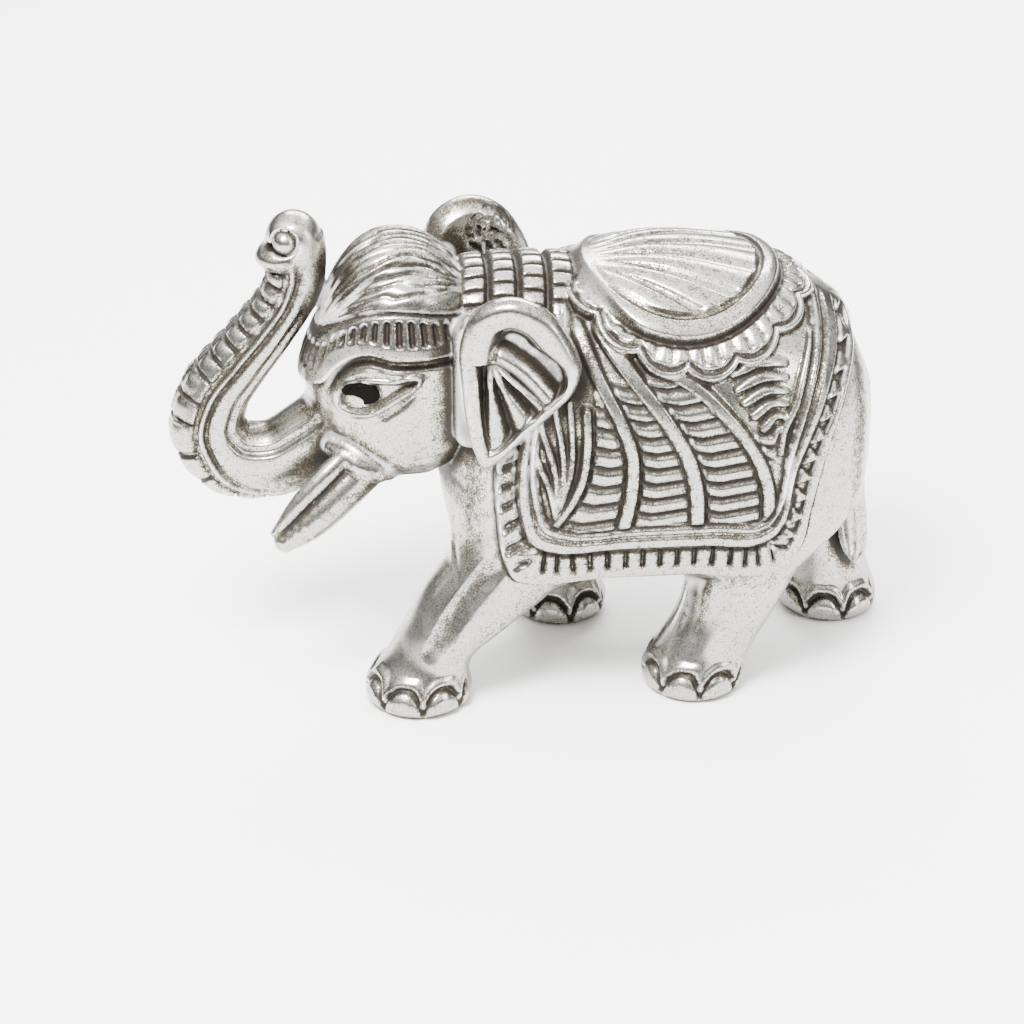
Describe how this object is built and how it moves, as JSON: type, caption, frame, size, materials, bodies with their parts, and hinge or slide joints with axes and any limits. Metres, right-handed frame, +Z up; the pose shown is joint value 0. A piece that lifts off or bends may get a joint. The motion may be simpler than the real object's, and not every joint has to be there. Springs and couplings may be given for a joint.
{
  "type": "elephant figurine",
  "caption": "Free-standing walking elephant figurine with a raised trunk, headband, neck collars and an ornamental saddle cloth, in antiqued silver-coloured metal.",
  "frame": {"origin": "centre of the figurine's bounding box in plan, on the plane of the four soles", "axes": "+X towards the tail (the elephant faces -X), +Y towards the elephant's right side, +Z up"},
  "size_m": [0.1228, 0.0484, 0.0821],
  "materials": {
    "silver_body": "satin",
    "silver_ornament": "satin",
    "eye_enamel": "gloss"
  },
  "bodies": {
    "root": {"torso": "silver_body", "head": "silver_body", "trunk": "silver_body", "trunk_bead_strip": "silver_ornament", "forehead_cap": "silver_ornament", "headband": "silver_ornament", "tusk_left": "silver_body", "tusk_right": "silver_body", "ear_left": "silver_body", "ear_right": "silver_body", "eye_left": "eye_enamel", "eye_right": "eye_enamel", "collar_front": "silver_ornament", "collar_middle": "silver_ornament", "collar_rear": "silver_ornament", "saddle_cloth": "silver_ornament", "scalloped_ruff": "silver_ornament", "saddle_pad": "silver_ornament", "leg_front_left": "silver_body", "leg_front_right": "silver_body", "leg_hind_left": "silver_body", "leg_hind_right": "silver_body", "tail": "silver_body"}
  },
  "joints": []
}
